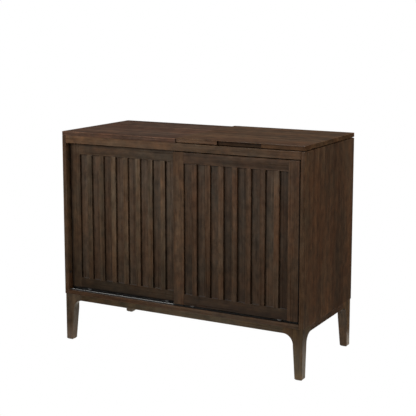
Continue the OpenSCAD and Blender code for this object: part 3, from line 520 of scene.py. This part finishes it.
dress(moulded("grey_nylon", (0.16, 0.155, 0.15), 0.45),
      "left_door_roller_1", "left_door_roller_2", "right_door_roller_1", "right_door_roller_2")
dress(moulded("black_plastic", (0.022, 0.022, 0.023), 0.5), "foot_glides", "cable_grommets",
      "left_door_roller_housings", "right_door_roller_housings",
      "left_door_top_guides", "right_door_top_guides")
dress(moulded("brown_rubber", (0.035, 0.026, 0.020), 0.6), "lid_bumpers", "door_bumpers")

missing = sorted(set(nodes) - set(looks))
if missing:
    raise SystemExit("no look for " + ", ".join(missing))
for n, obj in nodes.items():
    for slot in obj.material_slots:
        slot.material = looks[n]


# Soft arrises on the boards that show, but not on the aprons, which run into the legs

SOFT_W = 0.0003
SHARP_ANGLE = math.radians(30)
WELD_GAP = 1e-6
SOFTENED = (
    "fixed_top", "lid_panel", "left_side_panel", "right_side_panel", "bottom_panel", "front_rail", *legs,
    *(side + "_door_" + k for side in ("left", "right") for k in ("stiles", "rails", "slats")),
)
for n in SOFTENED:
    obj = nodes[n]
    weld = obj.modifiers.new("weld", "WELD")
    weld.merge_threshold = WELD_GAP
    bevel = obj.modifiers.new("arris", "BEVEL")
    bevel.width = SOFT_W
    bevel.segments = 2
    bevel.limit_method = "ANGLE"
    bevel.angle_limit = SHARP_ANGLE
    bevel.use_clamp_overlap = True


# Floor


def disc(name, radius, z, look):
    sides = 96
    mesh = bpy.data.meshes.new(name)
    ring = [(radius * math.cos(2 * math.pi * k / sides), radius * math.sin(2 * math.pi * k / sides), z)
            for k in range(sides)]
    mesh.from_pydata(ring, [], [tuple(range(sides))])
    obj = bpy.data.objects.new(name, mesh)
    scene.collection.objects.link(obj)
    obj.data.materials.append(look)
    return obj


def glowing(name, base, colour, glow):
    """Matt grey of the lightness base, which also glows in the colour."""
    return Graph(name).set(Base_Color=(base, base, base, 1.0), Roughness=0.9, Specular_IOR_Level=0.0,
                           Emission_Color=(*colour, 1.0), Emission_Strength=glow)


# What the legs reflect
warm = glowing("near_floor", base=0.86, colour=(1.0, 0.88, 0.64), glow=0.40)
near_floor = disc("near_floor", radius=0.66, z=0.0, look=warm)
near_floor.visible_camera = near_floor.visible_diffuse = False

# The white floor that the camera sees, just below the other
white = glowing("far_floor", base=0.0, colour=(1.0, 1.0, 1.0), glow=1.0)
far_floor = disc("far_floor", radius=60.0, z=-0.001, look=white)
far_floor.visible_diffuse = far_floor.visible_glossy = False


# Light


def area(name, place, target, size, watts, glossy=True):
    """A square light that faces the target."""
    data = bpy.data.lights.new(name, "AREA")
    data.shape, data.size, data.energy = "SQUARE", size, watts
    obj = bpy.data.objects.new(name, data)
    obj.location = place
    obj.rotation_euler = (Vector(target) - Vector(place)).to_track_quat("-Z", "Y").to_euler()
    obj.visible_glossy = glossy
    scene.collection.objects.link(obj)


area("key", (-1.6, -3.0, 2.0), (0.0, 0.0, 0.5), size=1.8, watts=58.0)
area("fill", (-0.3, -3.2, 1.4), (0.0, 0.0, 0.5), size=2.6, watts=28.0, glossy=False)
area("side", (3.2, -0.2, 1.3), (0.0, 0.0, 0.4), size=1.6, watts=45.0, glossy=False)
area("top", (-0.2, 0.3, 3.4), (0.0, 0.0, 0.8), size=2.0, watts=46.0)

# Behind and to the left, below the top, so that they add nothing to the photograph's view
area("back", (0.6, 3.4, 0.41), (0.0, 0.0, 0.41), size=0.78, watts=80.0, glossy=False)
area("left", (-3.4, 0.3, 0.41), (0.0, 0.0, 0.41), size=0.78, watts=80.0, glossy=False)

# White all around to the camera, and faint to the part
WHITE = (1.0, 1.0, 1.0, 1.0)
world = scene.world or bpy.data.worlds.new("studio")
scene.world = world
world.use_nodes = True
tree = world.node_tree
ambient = tree.nodes["Background"]
ambient.inputs["Color"].default_value = WHITE
ambient.inputs["Strength"].default_value = 0.042
backdrop = tree.nodes.new("ShaderNodeBackground")
backdrop.inputs["Color"].default_value = WHITE
by_ray = tree.nodes.new("ShaderNodeMixShader")
path = tree.nodes.new("ShaderNodeLightPath")
tree.links.new(path.outputs["Is Camera Ray"], by_ray.inputs[0])
tree.links.new(ambient.outputs[0], by_ray.inputs[1])
tree.links.new(backdrop.outputs[0], by_ray.inputs[2])
tree.links.new(by_ray.outputs[0], tree.nodes["World Output"].inputs[0])


# Camera

# How far the camera looks down and how far it is turned, in degrees
DOWN = 8.43
TURN = 28.61
lens = bpy.data.cameras.new("camera")
lens.lens, lens.sensor_width, lens.shift_y = 89.98, 36.0, -0.10
camera = bpy.data.objects.new("camera", lens)
camera.location = (1.8613, -3.4058, 1.2611)
camera.rotation_euler = (math.radians(90 - DOWN), 0.0, math.radians(TURN))
scene.collection.objects.link(camera)
scene.camera = camera
scene.view_settings.view_transform = "Standard"
